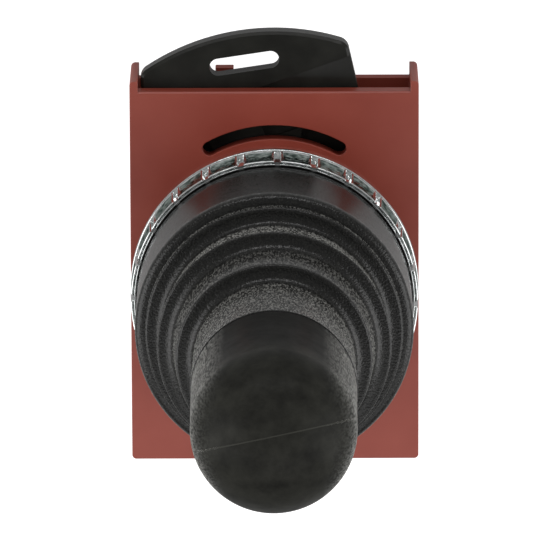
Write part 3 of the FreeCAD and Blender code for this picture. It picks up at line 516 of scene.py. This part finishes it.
lower_boot = rounded_profile([
    (CUP_R - FOOT_GAP, BOOT_FOOT), (CUP_R - FOOT_GAP, BEZEL_FRONT - STEP_BELOW),
    (BOOT_R, BEZEL_FRONT + STEP_ABOVE),
    (BOOT_R, SHOULDER_Z, SHOULDER_ROUND), (FOLD_B_R, SHOULDER_Z, FOLD_ROUND), crest(CREST_B),
    (SPLIT_R, SPLIT_Z), (SPLIT_R, SPLIT_Z - WALL), (BOOT_R - SHOULDER_WALL, SHOULDER_Z - WALL),
    (BOOT_R - SHOULDER_WALL, BOOT_FOOT)], ARC_STEPS)
upper_boot = rounded_profile([
    (SPLIT_R, SPLIT_Z), (FOLD_C_R, SPLIT_Z, VALLEY), crest(CREST_C), (FOLD_D_R, CREST_C[1], VALLEY),
    crest(CREST_D), (NECK_R, CREST_D[1], VALLEY), (NECK_TOP_R, BOOT_TOP, LIP_ROUND),
    (NECK_BORE_R, BOOT_TOP), (NECK_BORE_R, CREST_D[1] - WALL), (FOLD_D_R - WALL, CREST_C[1] - WALL),
    (FOLD_C_R - WALL, SPLIT_Z - WALL), (SPLIT_R, SPLIT_Z - WALL)], ARC_STEPS)
whole_turn = np.linspace(0, 360, STEPS_ROUND, endpoint=False)
boot_lower = finished(grid_mesh("boot_lower", ring_points(lower_boot, whole_turn)), SMOOTH_CREASE)
boot_upper = finished(grid_mesh("boot_upper", ring_points(upper_boot, whole_turn)), SMOOTH_CREASE)
for piece in (boot_lower, boot_upper):
    dress(piece, rubber)
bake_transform(boot_lower)
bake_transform(boot_upper)
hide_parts("rubber_boot")

# Knob: black thermoplastic handle, a short cylinder with a domed end, moulded
# round the insert and screwed on the lever. It is satin and near black, with the
# fine line where the halves of its mould met, and hands have dulled its dome. Its
# cylinder is painted darker as painted shade, and a sheen laid only on its left and
# right, strongest at the dome's rims, is a painted highlight.
DOME_R = 8.03
REAR_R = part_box("knob")[1].x / MM
DOME_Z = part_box("knob")[1].z / MM - DOME_R
DOME_STEPS = 64
KNOB_REAR = BOOT_TOP
LINE_NORMAL = (-0.203, 0.951, -0.232)
LINE_OFFSET = -0.5
LINE_W = 0.14
LINE_H = 0.06
FADE_L = 3.0
PAINTED_SHEEN_X = 4.7
PAINTED_SHEEN_W = 2.0
PAINTED_SHEEN_GRAIN_W = 0.22
# the dome is a quarter circle, radius cos a and height sin a, and its last small opening is closed flat
quarter = np.linspace(0, np.pi / 2, DOME_STEPS)[1:-1]
dome = [(DOME_R * math.cos(a), DOME_Z + DOME_R * math.sin(a)) for a in quarter]
knob_profile = rounded_profile(
    [(NECK_BORE_R, KNOB_REAR), (REAR_R, KNOB_REAR, LIP_ROUND), (DOME_R, DOME_Z)] + dome)
knob = finished(grid_mesh("knob_handle", ring_points(knob_profile, whole_turn), False), SMOOTH_CREASE)
knob_plastic, tree, shader, coords = new_material(
    "thermoplastic_satin_black", {"IOR": 1.5, "Specular IOR Level": 0.03, "Sheen Roughness": 0.3,
                                  "Sheen Tint": srgb("e9e8e2")})
scuffs = add_node(tree, "ShaderNodeTexNoise", {"Scale": per_mm(2.2), "Detail": 6.0, "Roughness": 0.65},
                  {"Vector": coords})
tint = add_node(tree, "ShaderNodeValToRGB", links={"Fac": scuffs.outputs["Fac"]})
tint.color_ramp.elements[0].position = 0.3
tint.color_ramp.elements[0].color = srgb("1c1c1a")
tint.color_ramp.elements[1].position = 0.8
tint.color_ramp.elements[1].color = srgb("31312d")
satin = add_node(tree, "ShaderNodeMapRange",
                 {"From Min": 0.3, "From Max": 0.75, "To Min": 0.4, "To Max": 0.28},
                 {"Value": scuffs.outputs["Fac"]})
tree.links.new(satin.outputs["Result"], shader.inputs["Roughness"])
# painted shade: the cylinder below the dome is painted darker; painted highlight: a sheen on the grain is
# laid on the left and right only
place = add_node(tree, "ShaderNodeSeparateXYZ", links={"Vector": coords})
painted_shade_below_dome = add_node(tree, "ShaderNodeMapRange",
                      {"From Min": DOME_Z * MM, "From Max": (DOME_Z - FADE_L) * MM, "To Max": 0.7},
                      {"Value": place.outputs["Z"]})
painted_shade_mix = add_node(tree, "ShaderNodeMix", {"data_type": "RGBA"}, {0: painted_shade_below_dome.outputs["Result"]})
tree.links.new(tint.outputs["Color"], painted_shade_mix.inputs[6])
painted_shade_mix.inputs[7].default_value = srgb("0e0e0d")
# painted highlight: the sheen is laid only left and right of the middle, and more strongly on the dome's
# rims than on the cylinder
aside = add_node(tree, "ShaderNodeMath", {"operation": "ABSOLUTE"}, {0: place.outputs["X"]})
painted_sheen_by_height = add_node(tree, "ShaderNodeMapRange",
                     {"From Min": DOME_Z * MM, "From Max": (DOME_Z + FADE_L) * MM,
                      "To Min": 0.8, "To Max": 1.7},
                     {"Value": place.outputs["Z"]})
painted_side_sheen = add_node(tree, "ShaderNodeMapRange",
                   {"From Min": PAINTED_SHEEN_X * MM, "From Max": (PAINTED_SHEEN_X + PAINTED_SHEEN_W) * MM},
                   {"Value": aside.outputs["Value"], "To Max": painted_sheen_by_height.outputs["Result"]})
specks = skin_grain(tree, coords, PAINTED_SHEEN_GRAIN_W, 0.5)
tips = add_node(tree, "ShaderNodeMapRange", {"From Min": 0.35, "From Max": 0.65},
                {"Value": specks.outputs["Fac"], "To Max": painted_side_sheen.outputs["Result"]})
tree.links.new(tips.outputs["Result"], shader.inputs["Sheen Weight"])
# the mould line is a low ridge in the plane through LINE_OFFSET beside the dome's middle
from_middle = add_node(tree, "ShaderNodeVectorMath", {"operation": "SUBTRACT"}, {0: coords})
from_middle.inputs[1].default_value = (0, 0, DOME_Z * MM)
off_plane = add_node(tree, "ShaderNodeVectorMath", {"operation": "DOT_PRODUCT"},
                     {0: from_middle.outputs["Vector"]})
off_plane.inputs[1].default_value = LINE_NORMAL
ridge = add_node(tree, "ShaderNodeMath", {"operation": "COMPARE"}, {0: off_plane.outputs["Value"]})
ridge.inputs[1].default_value = LINE_OFFSET * MM
ridge.inputs[2].default_value = LINE_W / 2 * MM
relief = add_node(tree, "ShaderNodeBump", {"Strength": 1.0, "Distance": LINE_H * MM},
                  {"Height": ridge.outputs["Value"]})
tree.links.new(relief.outputs["Normal"], shader.inputs["Normal"])
# the ridge is painted lighter, partly as wear and partly as a painted highlight where the ridge catches the
# light
ridge_wear_and_painted_highlight = add_node(tree, "ShaderNodeMix", {"data_type": "RGBA"})
ridge_wear_and_painted_highlight.inputs[7].default_value = srgb("373733")
tree.links.new(ridge.outputs["Value"], ridge_wear_and_painted_highlight.inputs[0])
tree.links.new(painted_shade_mix.outputs[2], ridge_wear_and_painted_highlight.inputs[6])
tree.links.new(ridge_wear_and_painted_highlight.outputs[2], shader.inputs["Base Color"])
dress(knob, knob_plastic)
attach(knob, "lever")
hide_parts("knob")

# Stage: a pale paper table under the adapter's rear face, soft light from both
# sides and above, and the camera in front, a little above the lever's axis.
# The camera sees the paper lifted to white, and polished parts mirror it dimly.
TABLE_Z = -20.0
CAMERA_ELEVATION = 13.7
CAMERA_DISTANCE = 800.0
CAMERA_AZIMUTH = 0.13
CAMERA_ROLL = -0.2
TARGET_Z = -10.3
FOCAL = 7680.0
FRAME_PX = 540.0
TARGET_PX = (274.7, 262.0)
TABLE_GAP = 0.2
TABLE_SIZE = 4000.0
AIM_Z = 15.0
bpy.ops.mesh.primitive_plane_add(size=TABLE_SIZE * MM, location=(0, 0, (TABLE_Z - TABLE_GAP) * MM))
table = bpy.context.object
table.name = "table"
paper, tree, shader, coords = new_material("white_paper", {"Base Color": srgb("a0a0a0"), "Roughness": 0.9})
ray = add_node(tree, "ShaderNodeLightPath")
mirrored = add_node(tree, "ShaderNodeMath", {"operation": "MULTIPLY"}, {0: ray.outputs["Is Glossy Ray"]})
mirrored.inputs[1].default_value = 0.1
lift = add_node(tree, "ShaderNodeMath", {"operation": "MAXIMUM"},
                {0: ray.outputs["Is Camera Ray"], 1: mirrored.outputs["Value"]})
shader.inputs["Emission Color"].default_value = srgb("ffffff")
tree.links.new(lift.outputs["Value"], shader.inputs["Emission Strength"])
dress(table, paper)

world = bpy.data.worlds.new("studio")
bpy.context.scene.world = world
world.use_nodes = True
world.node_tree.nodes["Background"].inputs["Color"].default_value = srgb("ffffff")
world.node_tree.nodes["Background"].inputs["Strength"].default_value = 0.35


def soft_box(name, place, size, power):
    """An area lamp, placed and sized in millimetres, that faces the middle of the joystick."""
    lamp = bpy.data.lights.new(name, "AREA")
    lamp.shape = "RECTANGLE"
    lamp.size = size[0] * MM
    lamp.size_y = size[1] * MM
    lamp.energy = power
    holder = bpy.data.objects.new(name, lamp)
    bpy.context.scene.collection.objects.link(holder)
    spot = Vector(place) * MM
    aim = Vector((0, 0, AIM_Z * MM)) - spot
    holder.matrix_world = Matrix.Translation(spot) @ aim.to_track_quat("-Z", "Y").to_matrix().to_4x4()


soft_box("left_box", (-420, -40, 160), (400, 500), 1.9)
soft_box("right_box", (420, -40, 160), (400, 500), 1.9)
soft_box("top_box", (0, 420, 120), (500, 70), 0.55)
soft_box("front_box", (0, -260, 420), (700, 240), 0.8)

elevation = math.radians(CAMERA_ELEVATION)
azimuth = math.radians(CAMERA_AZIMUTH)
target = Vector((0, 0, TARGET_Z * MM))
back = Vector((math.sin(azimuth) * math.cos(elevation), math.sin(elevation),
               math.cos(azimuth) * math.cos(elevation)))
camera_data = bpy.data.cameras.new("camera")
camera_data.sensor_width = 36.0
camera_data.lens = 36.0 * FOCAL / FRAME_PX
camera_data.shift_x = (FRAME_PX / 2 - TARGET_PX[0]) / FRAME_PX
camera_data.shift_y = (TARGET_PX[1] - FRAME_PX / 2) / FRAME_PX
camera_data.clip_start = 0.05
camera_data.clip_end = 10.0
camera = bpy.data.objects.new("camera", camera_data)
bpy.context.scene.collection.objects.link(camera)
right = Vector((math.cos(azimuth), 0, -math.sin(azimuth)))
turn = Matrix((right, back.cross(right), back)).transposed().to_4x4()
camera.matrix_world = (Matrix.Translation(target + back * CAMERA_DISTANCE * MM) @ turn
                       @ Matrix.Rotation(math.radians(CAMERA_ROLL), 4, "Z"))
bpy.context.scene.camera = camera
bpy.context.scene.view_settings.view_transform = "Standard"
